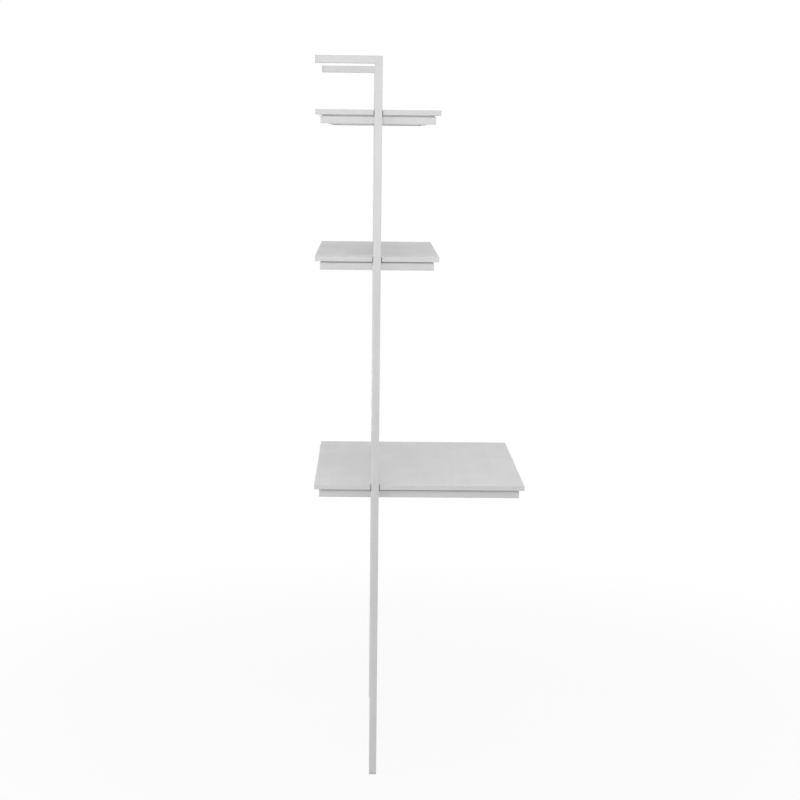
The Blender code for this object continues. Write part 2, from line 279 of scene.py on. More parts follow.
class WallDeskFinishes(bpy.types.PropertyGroup):
    """Colours and surfaces of the desk's four finishes."""

    coat: FloatVectorProperty(
        name="Powder coat", description="White of the coated steel", default=(0.70, 0.70, 0.70),
        size=3, min=0, max=1, subtype="COLOR",
    )
    coat_roughness: FloatProperty(
        name="Coat roughness", description="Mean roughness of the powder coat", default=0.34,
        min=0, max=1, subtype="FACTOR",
    )
    coat_peel: FloatProperty(
        name="Coat texture", description="Width of the fine waves in the powder coat",
        default=0.0011, unit="LENGTH",
    )
    lacquer: FloatVectorProperty(
        name="Lacquer", description="White of the lacquered boards", default=(0.70, 0.70, 0.70),
        size=3, min=0, max=1, subtype="COLOR",
    )
    lacquer_roughness: FloatProperty(
        name="Lacquer roughness", description="Mean roughness of the lacquer", default=0.40,
        min=0, max=1, subtype="FACTOR",
    )
    lacquer_stipple: FloatProperty(
        name="Lacquer texture", description="Width of the roller's stipple in the lacquer",
        default=0.0016, unit="LENGTH",
    )
    plastic: FloatVectorProperty(
        name="Plastic", description="White of the plugs and strips", default=(0.66, 0.66, 0.65),
        size=3, min=0, max=1, subtype="COLOR",
    )
    zinc: FloatVectorProperty(
        name="Zinc", description="Grey of the plated screws", default=(0.62, 0.63, 0.65),
        size=3, min=0, max=1, subtype="COLOR",
    )


class WallDeskStudio(bpy.types.PropertyGroup):
    """The camera's place and the light around the desk."""

    camera_place: FloatVectorProperty(
        name="Camera", description="Where the camera stands", default=(-4.4101, 0.1353, 1.6431),
        size=3, subtype="TRANSLATION", unit="LENGTH",
    )
    camera_down: FloatProperty(
        name="Down", description="How far the camera looks down", default=0.15781, subtype="ANGLE"
    )
    camera_aside: FloatProperty(
        name="Aside", description="How far the camera turns to the desk's front",
        default=0.02039, subtype="ANGLE",
    )
    camera_roll: FloatProperty(
        name="Roll", description="How far the camera leans", default=0.01131, subtype="ANGLE"
    )
    camera_lens: FloatProperty(
        name="Lens", description="Focal length on a 36 mm frame", default=74.19, unit="CAMERA"
    )
    ambient: FloatProperty(
        name="Ambient", description="Level of the light from all around", default=0.25, min=0, max=2
    )
    key_power: FloatProperty(
        name="Key light", description="Power of the light beside the desk", default=13.2, unit="POWER"
    )
    front_power: FloatProperty(
        name="Front light", description="Power of the light before the desk", default=24, unit="POWER"
    )
    wall_power: FloatProperty(
        name="Wall light", description="Power of the light on the wall's side", default=28, unit="POWER"
    )
    top_power: FloatProperty(
        name="Top light", description="Power of the light over the desk", default=18, unit="POWER"
    )
    far_power: FloatProperty(
        name="Far light", description="Power of the low light behind the far post", default=18, unit="POWER"
    )
    floor: FloatVectorProperty(
        name="Floor", description="Pale colour of the floor", default=(0.82, 0.82, 0.82),
        size=3, min=0, max=1, subtype="COLOR",
    )


def deselect():
    """Lets go of everything that is selected."""
    bpy.ops.object.select_all(action="DESELECT")


def take(piece):
    """Selects one piece alone and makes it active."""
    deselect()
    piece.select_set(True)
    bpy.context.view_layer.objects.active = piece


def settle(name):
    """Names the new primitive and puts its place and turn into its mesh."""
    piece = bpy.context.object
    piece.name = name
    bpy.ops.object.transform_apply(location=True, rotation=True, scale=True)
    return piece


def block(name, low, high):
    """A block between two corners."""
    deselect()
    bpy.ops.mesh.primitive_cube_add(size=1, location=(low + high) / 2, scale=high - low)
    return settle(name)


def rod(name, middle, radius, length, turn=(0, 0, 0), sides=ROD_SIDES):
    """A round rod about its middle, upright unless it is turned."""
    deselect()
    bpy.ops.mesh.primitive_cylinder_add(
        vertices=sides, radius=radius, depth=length, location=middle, rotation=turn
    )
    return settle(name)


def edit(piece, kind):
    """Opens a piece for editing with nothing selected."""
    take(piece)
    bpy.ops.object.mode_set(mode="EDIT")
    bpy.ops.mesh.select_mode(type=kind)
    bpy.ops.mesh.select_all(action="DESELECT")


def pick(piece, kind, test):
    """Selects the vertices, edges or faces that pass a test."""
    mesh = bmesh.from_edit_mesh(piece.data)
    mesh.normal_update()
    parts = {"VERT": mesh.verts, "EDGE": mesh.edges, "FACE": mesh.faces}[kind]
    chosen = [part for part in parts if test(part)]
    if not chosen:
        raise RuntimeError(f"{piece.name}: nothing to select")
    for part in chosen:
        part.select_set(True)
    mesh.select_flush_mode()
    bmesh.update_edit_mesh(piece.data)


def pick_anew(piece, kind, test):
    """Lets go of the selection and selects the vertices, edges or faces that pass a test."""
    bpy.ops.mesh.select_mode(type=kind)
    bpy.ops.mesh.select_all(action="DESELECT")
    pick(piece, kind, test)


def bevel(width, steps=1):
    """Chamfers the selected edges, or rounds them in steps."""
    bpy.ops.mesh.bevel(offset=width, offset_type="OFFSET", segments=steps, affect="EDGES")


def close():
    """Ends the editing of a piece."""
    bpy.ops.object.mode_set(mode="OBJECT")


def facing(direction):
    """A test for faces that look one way."""
    return lambda face: face.normal.dot(direction) > ALIGNED


def along(axis):
    """A test for edges that run along an axis."""
    return lambda edge: abs((edge.verts[1].co - edge.verts[0].co).normalized().dot(axis)) > ALIGNED


def both_ends(test):
    """A test for edges whose two ends pass a test for vertices."""
    return lambda edge: all(test(vertex) for vertex in edge.verts)


def scaled(axis, along_it, across_it):
    """A scale with one ratio along an axis and another across it."""
    return [along_it if abs(part) > ON_AXIS else across_it for part in axis]


def apply(piece, kind, **settings):
    """Adds a modifier, sets it and applies it."""
    take(piece)
    bpy.ops.object.modifier_add(type=kind)
    modifier = piece.modifiers[-1]
    for name, value in settings.items():
        setattr(modifier, name, value)
    bpy.ops.object.modifier_apply(modifier=modifier.name)


def cut(piece, cutter):
    """Takes one body out of another and removes it."""
    apply(piece, "BOOLEAN", operation="DIFFERENCE", solver="EXACT", object=cutter)
    bpy.data.objects.remove(cutter)


def grow(axis, centre, size, steps):
    """Extrudes the selected face along an axis, in steps of an end size and a rise."""
    for end_size, rise in steps:
        bpy.ops.mesh.extrude_region_move(TRANSFORM_OT_translate={"value": axis * rise})
        centre = centre + axis * rise
        bpy.ops.transform.resize(value=scaled(axis, 1, end_size / size), center_override=centre)
        size = end_size


def copied(piece, name, shift, turn=0.0):
    """A copy of a piece with a mesh of its own, moved and turned about its upright axis."""
    take(piece)
    bpy.ops.object.duplicate(linked=False)
    twin = bpy.context.object
    twin.name = name
    bpy.ops.transform.translate(value=shift)
    bpy.ops.object.transform_apply(location=True, rotation=True, scale=True)
    if turn:
        middle = centre_of(twin)
        edit(twin, "VERT")
        bpy.ops.mesh.select_all(action="SELECT")
        bpy.ops.transform.rotate(value=turn, orient_axis="Z", center_override=middle)
        close()
    return twin


def centre_of(piece):
    """The middle of a piece's box."""
    corners = [Vector(corner) for corner in piece.bound_box]
    return sum(corners, Vector()) / len(corners)


def middle_of(node):
    """The middle of a node's box."""
    low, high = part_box(node)
    return (low + high) / 2


def nodes_with(part):
    """The names of the frame's nodes that hold a part of a name, in order."""
    return sorted(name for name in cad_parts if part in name)


def screw_points(shelf):
    """The middles of the screws under a board."""
    return [middle_of(name) for name in nodes_with(f"{shelf}_screw_")]


def complete(piece, slot, *nodes, smooth_up_to=SMOOTH_UP_TO):
    """Shades a piece, gives it the finish of its slot and sets it on the frame in place of its nodes."""
    take(piece)
    bpy.ops.object.shade_smooth_by_angle(angle=math.radians(smooth_up_to))
    apply(piece, "WEIGHTED_NORMAL", keep_sharp=True)
    piece.data.materials.clear()
    piece.data.materials.append(finish_for(slot))
    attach(piece, "root")
    if nodes:
        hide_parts(*nodes)
    return piece


def mapped(tree, value, low, high, start=0.0, end=1.0, kind="LINEAR"):
    """A value carried from one range to another."""
    node = tree.nodes.new("ShaderNodeMapRange")
    node.interpolation_type = kind
    node.inputs["From Min"].default_value = start
    node.inputs["From Max"].default_value = end
    node.inputs["To Min"].default_value = low
    node.inputs["To Max"].default_value = high
    tree.links.new(value, node.inputs["Value"])
    return node.outputs["Result"]


def shade(colour, factor):
    """A colour made a little darker or lighter."""
    return [min(part * factor, 1) for part in colour]


class Finish:
    """A material with a Principled shader whose pattern lies on the piece's own coordinates."""

    def __init__(self, name):
        self.material = bpy.data.materials.new(name)
        self.material.use_nodes = True
        self.tree = self.material.node_tree
        self.shader = self.tree.nodes["Principled BSDF"]
        self.place = self.tree.nodes.new("ShaderNodeTexCoord").outputs["Object"]

    def stretched(self, scale):
        """The piece's coordinates, stretched along its axes."""
        node = self.tree.nodes.new("ShaderNodeMapping")
        node.inputs["Scale"].default_value = scale
        self.tree.links.new(self.place, node.inputs["Vector"])
        return node.outputs["Vector"]

    def noise(self, width, detail, place=None):
        """Soft noise whose spots have about the given width."""
        node = self.tree.nodes.new("ShaderNodeTexNoise")
        node.inputs["Scale"].default_value = 1 / width
        node.inputs["Detail"].default_value = detail
        self.tree.links.new(place or self.place, node.inputs["Vector"])
        return node.outputs["Fac"]

    def spread(self, value, low=0.0, high=1.0, start=0.3, end=0.7):
        """A noise, which lies mostly between start and end, spread between two numbers."""
        return mapped(self.tree, value, low, high, start, end)

    def sum(self, first, second):
        """Two values added."""
        node = self.tree.nodes.new("ShaderNodeMath")
        node.operation = "ADD"
        self.tree.links.new(first, node.inputs[0])
        self.tree.links.new(second, node.inputs[1])
        return node.outputs["Value"]

    def tint(self, value, colour, darkest, lightest):
        """A colour, made darker or lighter by a value, on the shader's base colour."""
        node = self.tree.nodes.new("ShaderNodeMix")
        node.data_type = "RGBA"
        colours = {socket.identifier: socket for socket in node.inputs}
        colours["A_Color"].default_value = (*shade(colour, darkest), 1)
        colours["B_Color"].default_value = (*shade(colour, lightest), 1)
        self.tree.links.new(value, node.inputs["Factor"])
        outputs = {socket.identifier: socket for socket in node.outputs}
        self.tree.links.new(outputs["Result_Color"], self.shader.inputs["Base Color"])

    def roughness(self, value, middle, swing):
        """A roughness on the shader that strays to both sides of its middle by a noise."""
        strayed = self.spread(value, middle - swing, middle + swing)
        self.tree.links.new(strayed, self.shader.inputs["Roughness"])

    def bump(self, height, depth):
        """A relief on the shader's normal, with its depth in metres."""
        node = self.tree.nodes.new("ShaderNodeBump")
        node.inputs["Distance"].default_value = depth
        self.tree.links.new(height, node.inputs["Height"])
        self.tree.links.new(node.outputs["Normal"], self.shader.inputs["Normal"])


def powder_coat(name, finishes):
    """White powder coat: fine flowing waves, faint clouds of tone and gloss."""
    finish = Finish(name)
    clouds = finish.noise(width=0.16, detail=3)
    finish.tint(finish.spread(clouds), finishes.coat, darkest=0.965, lightest=1.02)
    blotches = finish.noise(width=0.018, detail=4)
    finish.roughness(blotches, middle=finishes.coat_roughness, swing=0.06)
    waves = finish.noise(width=finishes.coat_peel, detail=2)
    swell = finish.noise(width=finishes.coat_peel * SWELL, detail=1)
    finish.bump(finish.sum(waves, swell), depth=0.00005)
    return finish.material


def lacquer(name, finishes):
    """White satin lacquer on fibreboard: roller stipple, faint strokes along the width and clouds of tone."""
    finish = Finish(name)
    clouds = finish.noise(width=0.22, detail=4)
    strokes = finish.noise(width=0.5, detail=3, place=finish.stretched(STROKES))
    tone = finish.spread(finish.sum(clouds, strokes), start=0.7, end=1.3)
    finish.tint(tone, finishes.lacquer, darkest=0.965, lightest=1.015)
    handled = finish.noise(width=0.07, detail=5)
    finish.roughness(handled, middle=finishes.lacquer_roughness, swing=0.07)
    stipple = finish.noise(width=finishes.lacquer_stipple, detail=2)
    finish.bump(stipple, depth=0.00004)
    return finish.material


def moulded_plastic(name, finishes):
    """White plastic with the fine grain of its mould."""
    finish = Finish(name)
    clouds = finish.noise(width=0.006, detail=3)
    finish.tint(finish.spread(clouds), finishes.plastic, darkest=0.95, lightest=1.03)
    finish.roughness(finish.noise(width=0.002, detail=2), middle=0.56, swing=0.06)
    finish.bump(finish.noise(width=0.0005, detail=2), depth=0.00003)
    return finish.material


def zinc_plate(name, finishes):
    """Plated steel with faint clouds and a fine grain."""
    finish = Finish(name)
    finish.shader.inputs["Metallic"].default_value = 1.0
    clouds = finish.noise(width=0.002, detail=4)
    finish.tint(finish.spread(clouds), finishes.zinc, darkest=0.88, lightest=1.06)
    finish.roughness(finish.noise(width=0.0012, detail=3), middle=0.34, swing=0.08)
    finish.bump(finish.noise(width=0.0003, detail=3), depth=0.000012)
    return finish.material


FINISHES = {
    "steel": ("white_powder_coat", powder_coat),
    "lacquer": ("white_satin_lacquer", lacquer),
    "plastic": ("white_moulded_plastic", moulded_plastic),
    "zinc": ("zinc_plate", zinc_plate),
}


def finish_for(slot):
    """The finish of a slot, made the first time."""
    name, make = FINISHES[slot]
    return bpy.data.materials.get(name) or make(name, bpy.context.scene.wall_desk_finishes)


def square_tube(name, low, high, axis, outward, ends):
    """A hollow square tube between two corners, mitred at the named ends so that one side is longest."""
    sizes = bpy.context.scene.wall_desk_sizes
    tube = block(name, low, high)
    edit(tube, "EDGE")
    pick(tube, "EDGE", along(axis))
    bevel(sizes.corner_radius, TUBE_STEPS)
    pick_anew(tube, "FACE", lambda face: abs(face.normal.dot(axis)) > ALIGNED)
    bpy.ops.mesh.delete(type="ONLY_FACE")
    close()
    apply(tube, "SOLIDIFY", thickness=sizes.tube_wall, offset=-1, use_even_offset=True, use_rim=True)
    for end in ends:
        mitre(tube, low, high, axis, outward, end, sizes)
    return tube


def mitre(tube, low, high, axis, outward, end, sizes):
    """Cuts one end of a tube at 45 degrees and eases the rim that shows."""
    tip = high if end > 0 else low
    side = Vector([far if part > 0 else near for part, far, near in zip(outward, high, low)])
    corner = Vector([at if abs(part) > ON_AXIS else beside for at, part, beside in zip(tip, axis, side)])
    out_of_end = axis * end
    point = corner - out_of_end * sizes.seam_gap
    normal = (out_of_end - outward).normalized()
    edit(tube, "EDGE")
    bpy.ops.mesh.select_all(action="SELECT")
    bpy.ops.mesh.bisect(plane_co=point, plane_no=normal, use_fill=True, clear_outer=True)
    bpy.ops.mesh.select_all(action="DESELECT")
    middle = (low + high) / 2
    half = min(high - low) / 2

    def on_rim(vertex):
        across = [abs(part) for part, run in zip(vertex.co - middle, axis) if abs(run) < ON_AXIS]
        outside = max(across) > half - sizes.tube_wall * OUTSIDE_SHARE
        return outside and abs((vertex.co - point).dot(normal)) < ON_PLANE

    pick(tube, "EDGE", both_ends(on_rim))
    bevel(sizes.seam_edge, RIM_STEPS)
    close()


def drill(piece, point, diameter, low, high):
    """Drills an upright hole through a piece between two heights."""
    middle = Vector((point.x, point.y, (low + high) / 2))
    cut(piece, rod("drill", middle, diameter / 2, high - low))


def ease_hole(piece, point, diameter, level, sizes):
    """Rounds the rim of a hole in a piece's underside."""
    edit(piece, "EDGE")

    def on_rim(vertex):
        across = (vertex.co - point).xy.length
        return abs(vertex.co.z - level) < ON_PLANE and abs(across - diameter / 2) < ON_PLANE

    pick(piece, "EDGE", both_ends(on_rim))
    bevel(sizes.hole_edge, RIM_STEPS)
    close()


class WALLDESK_OT_posts(bpy.types.Operator):
    """Models the two posts, mitred at the top"""

    bl_idname = "wall_desk.posts"
    bl_label = "Posts"

    def execute(self, context):
        for side in SIDES:
            low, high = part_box(f"{side}_post")
            high.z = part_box(f"{side}_wall_arm")[1].z
            tube = square_tube(f"{side}_post_tube", low, high, UP, -TO_WALL, [1])
            complete(tube, "steel", f"{side}_post")
        return {"FINISHED"}


class WALLDESK_OT_wall_arms(bpy.types.Operator):
    """Models the two arms from the posts back to the wall"""

    bl_idname = "wall_desk.wall_arms"
    bl_label = "Wall arms"

    def execute(self, context):
        for side in SIDES:
            low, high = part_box(f"{side}_wall_arm")
            low.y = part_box(f"{side}_post")[0].y
            tube = square_tube(f"{side}_arm_tube", low, high, TO_WALL, UP, [-1])
            sizes = context.scene.wall_desk_sizes
            point = middle_of(f"{side}_lock_screw")
            drill(tube, point, sizes.lock_hole, low.z - sizes.tube_wall, (low.z + high.z) / 2)
            ease_hole(tube, point, sizes.lock_hole, low.z, sizes)
            complete(tube, "steel", f"{side}_wall_arm")
        return {"FINISHED"}


class WALLDESK_OT_rails(bpy.types.Operator):
    """Models the mitred frames of rails under the three boards"""

    bl_idname = "wall_desk.rails"
    bl_label = "Rails"

    def execute(self, context):
        runs = {
            "left": (TO_WALL, -RIGHT),
            "right": (TO_WALL, RIGHT),
            "front": (RIGHT, -TO_WALL),
            "back": (RIGHT, TO_WALL),
        }
        for shelf in SHELVES:
            boxes = {run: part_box(f"{shelf}_{run}_rail") for run in runs}
            outer_low = Vector((boxes["left"][0].x, boxes["front"][0].y, 0))
            outer_high = Vector((boxes["right"][1].x, boxes["back"][1].y, 0))
            for run, (axis, outward) in runs.items():
                low, high = boxes[run]
                if axis is RIGHT:
                    low.x, high.x = outer_low.x, outer_high.x
                else:
                    low.y, high.y = outer_low.y, outer_high.y
                tube = square_tube(f"{shelf}_{run}_tube", low, high, axis, outward, [-1, 1])
                if run in SIDES:
                    self.drill_for_screws(tube, shelf, SIDES[run], low.z, high.z)
                complete(tube, "steel", f"{shelf}_{run}_rail")
        return {"FINISHED"}

    def drill_for_screws(self, tube, shelf, sign, low, high):
        """Drills a side rail for its screws: wide from below for the heads, narrow above for the shanks."""
        sizes = bpy.context.scene.wall_desk_sizes
        for point in screw_points(shelf):
            if point.x * sign > 0:
                level = (low + high) / 2
                drill(tube, point, sizes.head_hole, low - sizes.tube_wall, level)
                drill(tube, point, sizes.shank_hole, level, high + sizes.tube_wall)
                ease_hole(tube, point, sizes.head_hole, low, sizes)


class WALLDESK_OT_boards(bpy.types.Operator):
    """Models the desk top and the two shelves, notched for the posts"""

    bl_idname = "wall_desk.boards"
    bl_label = "Boards"

    def execute(self, context):
        sizes = context.scene.wall_desk_sizes
        room = Vector((1, 1, 1)) * sizes.notch_clearance
        for shelf, node in SHELVES.items():
            low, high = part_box(node)
            board = block(f"{shelf}_board", low, high)
            for side in SIDES:
                post_low, post_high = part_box(f"{side}_post")
                cut(board, block("notch", post_low - room, post_high + room))
            apply(board, "BEVEL", width=sizes.board_edge, segments=BOARD_STEPS, limit_method="ANGLE")
            complete(board, "lacquer", node)
        return {"FINISHED"}


def weld_bead(name, corner, run, length, from_rail, from_post, rounded, sizes):
    """A rippled weld along a corner, feathered at its ends and filling the groove at the rounded edge."""
    centre = corner - (from_rail + from_post) * sizes.weld_root
    radius = math.hypot(sizes.weld_leg + sizes.weld_root, sizes.weld_root)
    turn = (0, 0, 0) if run is UP else LYING
    bead = rod(name, centre, radius, length, turn, sides=BEAD_SIDES)
    rings = 2 * round(length / sizes.weld_pitch)
    edit(bead, "EDGE")
    pick(bead, "EDGE", along(run))
    bpy.ops.mesh.subdivide(number_cuts=rings - 1)
    bpy.ops.mesh.select_mode(type="VERT")
    hidden = sizes.weld_root * math.sqrt(2)
    for index in range(rings + 1):
        place = (index / rings - 0.5) * length
        taper = math.sqrt(max(1 - (2 * place / length) ** WELD_FEATHER, 0))
        ripple = sizes.weld_ripple * (1 if index % 2 else -1)
        reach = hidden + (radius - hidden + ripple) * taper
        bpy.ops.mesh.select_all(action="DESELECT")
        pick(bead, "VERT", lambda vertex: abs((vertex.co - centre).dot(run) - place) < ON_PLANE)
        bpy.ops.transform.resize(value=scaled(run, 1, reach / radius), center_override=centre + run * place)
    close()
    apply(bead, "SUBSURF", levels=1, render_levels=1)
    edit(bead, "FACE")
    bpy.ops.mesh.select_all(action="SELECT")
    bpy.ops.transform.resize(value=scaled(from_post, sizes.weld_spread, 1), center_override=corner)
    for outward in (from_rail, from_post):
        bpy.ops.mesh.select_all(action="SELECT")
        bottom = corner - outward * (sizes.weld_fill if outward is rounded else sizes.weld_sink)
        bpy.ops.mesh.bisect(plane_co=bottom, plane_no=outward, use_fill=True, clear_inner=True)
    close()
    return bead


class WALLDESK_OT_welds(bpy.types.Operator):
    """Models the welds that hold the side rails to the posts"""

    bl_idname = "wall_desk.welds"
    bl_label = "Welds"

    def execute(self, context):
        sizes = context.scene.wall_desk_sizes
        for shelf in SHELVES:
            for side, sign in SIDES.items():
                self.weld(shelf, side, RIGHT * sign, sizes)
        return {"FINISHED"}

    def weld(self, shelf, side, outward, sizes):
        """Lays a bead on both sides of a post and one under the rail, as one piece."""
        rail_low, rail_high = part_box(f"{shelf}_{side}_rail")
        post_low, post_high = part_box(f"{side}_post")
        face = rail_high.x if outward.x > 0 else rail_low.x
        inner = post_low.x if outward.x > 0 else post_high.x
        level = (rail_low.z + rail_high.z) / 2
        height = rail_high.z - rail_low.z - 2 * sizes.corner_radius
        width = post_high.y - post_low.y - 2 * sizes.corner_radius
        middle = (post_low.y + post_high.y) / 2
        beads = []
        for name, edge, away in (("front", post_low.y, -TO_WALL), ("back", post_high.y, TO_WALL)):
            corner = Vector((face, edge, level))
            beads.append(weld_bead(name, corner, UP, height, outward, away, away, sizes))
        down = -UP
        corner = Vector((inner, middle, rail_low.z))
        beads.append(weld_bead("under", corner, TO_WALL, width, down, -outward, down, sizes))
        deselect()
        for bead in beads:
            bead.select_set(True)
        bpy.context.view_layer.objects.active = beads[0]
        bpy.ops.object.join()
        weld = bpy.context.object
        weld.name = f"{shelf}_{side}_weld"
        complete(weld, "steel", smooth_up_to=WELD_SMOOTH_UP_TO)


class WALLDESK_OT_foot_plugs(bpy.types.Operator):
    """Models the plugs that the posts stand on"""

    bl_idname = "wall_desk.foot_plugs"
    bl_label = "Foot plugs"

    def execute(self, context):
        sizes = context.scene.wall_desk_sizes
        for side in SIDES:
            low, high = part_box(f"{side}_foot_plug")
            plate_high = Vector((high.x, high.y, low.z + sizes.sole_plate))
            plug = block(f"{side}_foot", low, plate_high)
            edit(plug, "EDGE")
            pick(plug, "EDGE", along(UP))
            bevel(sizes.corner_radius, TUBE_STEPS)
            pick_anew(plug, "FACE", facing(UP))
            full = high.x - low.x
            fin = full - 2 * (sizes.tube_wall + sizes.plug_gap)
            stem = fin - 2 * sizes.fin_height
            cup = stem - 2 * sizes.cup_wall
            length = high.z - plate_high.z
            pitch = length / (sizes.fin_count + 1)
            steps = [(stem, 0), (stem, pitch - sizes.fin_thickness / 2)]
            for index in range(sizes.fin_count):
                last = index + 1 == sizes.fin_count
                to_next = pitch - sizes.fin_thickness / (2 if last else 1)
                steps += [(fin, 0), (fin, sizes.fin_thickness), (stem, 0), (stem, to_next)]
            steps += [(cup, 0), (cup, -length)]
            centre = (low + high) / 2
            centre.z = plate_high.z
            grow(UP, centre, full, steps)
            pick_anew(plug, "EDGE", both_ends(lambda vertex: abs(vertex.co.z - low.z) < ON_PLANE))
            bevel(sizes.sole_edge, SMALL_STEPS)
            close()
            complete(plug, "plastic", f"{side}_foot_plug")
        return {"FINISHED"}


class WALLDESK_OT_wall_brackets(bpy.types.Operator):
    """Models the flanged plugs between the arms and the wall"""

    bl_idname = "wall_desk.wall_brackets"
    bl_label = "Wall brackets"

    def execute(self, context):
        sizes = context.scene.wall_desk_sizes
        for side in SIDES:
            low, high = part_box(f"{side}_wall_bracket")
            bracket = block(f"{side}_bracket", Vector((low.x, high.y - sizes.flange, low.z)), high)
            edit(bracket, "EDGE")
            pick(bracket, "EDGE", along(TO_WALL))
            bevel(sizes.corner_radius, TUBE_STEPS)
            pick_anew(bracket, "FACE", facing(-TO_WALL))
            full = high.x - low.x
            plug = full - 2 * (sizes.tube_wall + sizes.plug_gap)
            length = high.y - sizes.flange - low.y
            centre = (low + high) / 2
            centre.y = high.y - sizes.flange
            steps = [(plug, 0), (plug, length - sizes.plug_tip), (plug - 2 * sizes.plug_tip, sizes.plug_tip)]
            grow(-TO_WALL, centre, full, steps)
            close()
            middle = Vector((centre.x, (low.y + high.y) / 2, centre.z))
            depth = high.y - low.y
            cut(bracket, rod("hole", middle, sizes.wall_screw_hole / 2, depth * THROUGH, LYING))
            middle.y = low.y - sizes.wall_screw_seat + depth / 2
            cut(bracket, rod("bore", middle, sizes.wall_screw_bore / 2, depth, LYING))
            drill(bracket, middle_of(f"{side}_lock_screw"), sizes.lock_hole, low.z, centre.z)
            complete(bracket, "steel", f"{side}_wall_bracket")
        return {"FINISHED"}


class WALLDESK_OT_strips(bpy.types.Operator):
    """Models the strips between the rails and the boards"""

    bl_idname = "wall_desk.strips"
    bl_label = "Strips"

    def execute(self, context):
        sizes = context.scene.wall_desk_sizes
        for shelf in SHELVES:
            for side, twin in (("left", "right"), ("front", "back")):
                node = f"{shelf}_{side}_strip"
                low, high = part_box(node)
                seat = block(f"{shelf}_{side}_seat", low, high)
                bottom, top = low.z - sizes.strip_edge, high.z + sizes.strip_edge
                for point in screw_points(shelf):
                    if low.x < point.x < high.x:
                        drill(seat, point, sizes.shank_hole, bottom, top)
                apply(seat, "BEVEL", width=sizes.strip_edge, segments=SMALL_STEPS, limit_method="ANGLE")
                shift = middle_of(f"{shelf}_{twin}_strip") - middle_of(node)
                other = copied(seat, f"{shelf}_{twin}_seat", shift)
                complete(seat, "plastic", node)
                complete(other, "plastic", f"{shelf}_{twin}_strip")
        return {"FINISHED"}


def pan_head_screw(name, node, sizes):
    """A screw with a rounded head below and a cross recess in it, its shank pointing up."""
    low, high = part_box(node)
    middle = (low + high) / 2
    radius = (high.x - low.x) / 2
    seat = low.z + sizes.head_height
    screw = rod(name, Vector((middle.x, middle.y, seat - sizes.head_rim / 2)), radius, sizes.head_rim)
    edit(screw, "FACE")
    pick(screw, "FACE", facing(-UP))
    crown = sizes.head_height - sizes.head_rim
    angles = [CROWN_ARC * index / CROWN_RINGS for index in range(CROWN_RINGS + 1)]
    steps = []
    for before, angle in zip(angles, angles[1:]):
        end = radius * (CROWN_FLAT + (1 - CROWN_FLAT) * math.cos(angle))
        rise = crown * (math.sin(angle) - math.sin(before)) / math.sin(CROWN_ARC)
        steps.append((end, rise))
    grow(-UP, Vector((middle.x, middle.y, seat - sizes.head_rim)), radius, steps)
    pick_anew(screw, "FACE", facing(UP))
    length = high.z - seat
    shank = sizes.shank / 2
    steps = [(shank, 0), (shank, length - sizes.screw_tip), (shank * POINT_TAPER, sizes.screw_tip)]
    grow(UP, Vector((middle.x, middle.y, seat)), radius, steps)
    close()
    deep = UP * sizes.recess_depth
    foot = Vector((middle.x, middle.y, low.z))
    for spans in ((sizes.recess_width, sizes.recess_blade), (sizes.recess_blade, sizes.recess_width)):
        reach = Vector((*spans, 0)) / 2
        blade = block("blade", foot - reach - deep, foot + reach + deep)
        edit(blade, "FACE")
        pick(blade, "FACE", facing(UP))
        bpy.ops.transform.resize(value=scaled(UP, 1, RECESS_TAPER), center_override=foot + deep)
        close()
        cut(screw, blade)
    return screw


def headless_screw(name, node, sizes):
    """A short screw without a head, chamfered at both ends, with a hexagon socket in its lower end."""
    low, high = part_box(node)
    middle = (low + high) / 2
    screw = rod(name, middle, (high.x - low.x) / 2, high.z - low.z)
    edit(screw, "EDGE")
    pick(screw, "EDGE", lambda edge: abs(edge.verts[0].co.z - edge.verts[1].co.z) < ON_PLANE)
    bevel(sizes.lock_chamfer)
    close()
    corner = sizes.socket_width / math.sqrt(3)
    cut(screw, rod("socket", Vector((middle.x, middle.y, low.z)), corner, 2 * sizes.socket_depth, sides=6))
    return screw


class WALLDESK_OT_screws(bpy.types.Operator):
    """Models a screw inside the rails and a lock screw of the arms, and copies them"""

    bl_idname = "wall_desk.screws"
    bl_label = "Screws"

    def execute(self, context):
        sizes = context.scene.wall_desk_sizes
        for names, kind, model in (
            (nodes_with("_screw_"), "pan", pan_head_screw),
            (nodes_with("_lock_screw"), "set", headless_screw),
        ):
            first = model(f"{names[0]}_{kind}", names[0], sizes)
            for index, name in enumerate(names[1:], start=1):
                shift = middle_of(name) - middle_of(names[0])
                # Each copy is turned one radian further, as screws end up at any angle
                twin = copied(first, f"{name}_{kind}", shift, turn=index)
                complete(twin, "zinc", name)
            complete(first, "zinc", names[0])
        return {"FINISHED"}


def seen_directly(tree):
    """1 for a ray from the camera, off a glossy face or through a pane, and 0 for any other."""
    path = tree.nodes.new("ShaderNodeLightPath")
    value = path.outputs["Is Camera Ray"]
    for name in ("Is Glossy Ray", "Is Transmission Ray"):
        most = tree.nodes.new("ShaderNodeMath")
        most.operation = "MAXIMUM"
        tree.links.new(value, most.inputs[0])
        tree.links.new(path.outputs[name], most.inputs[1])
        value = most.outputs["Value"]
    return value


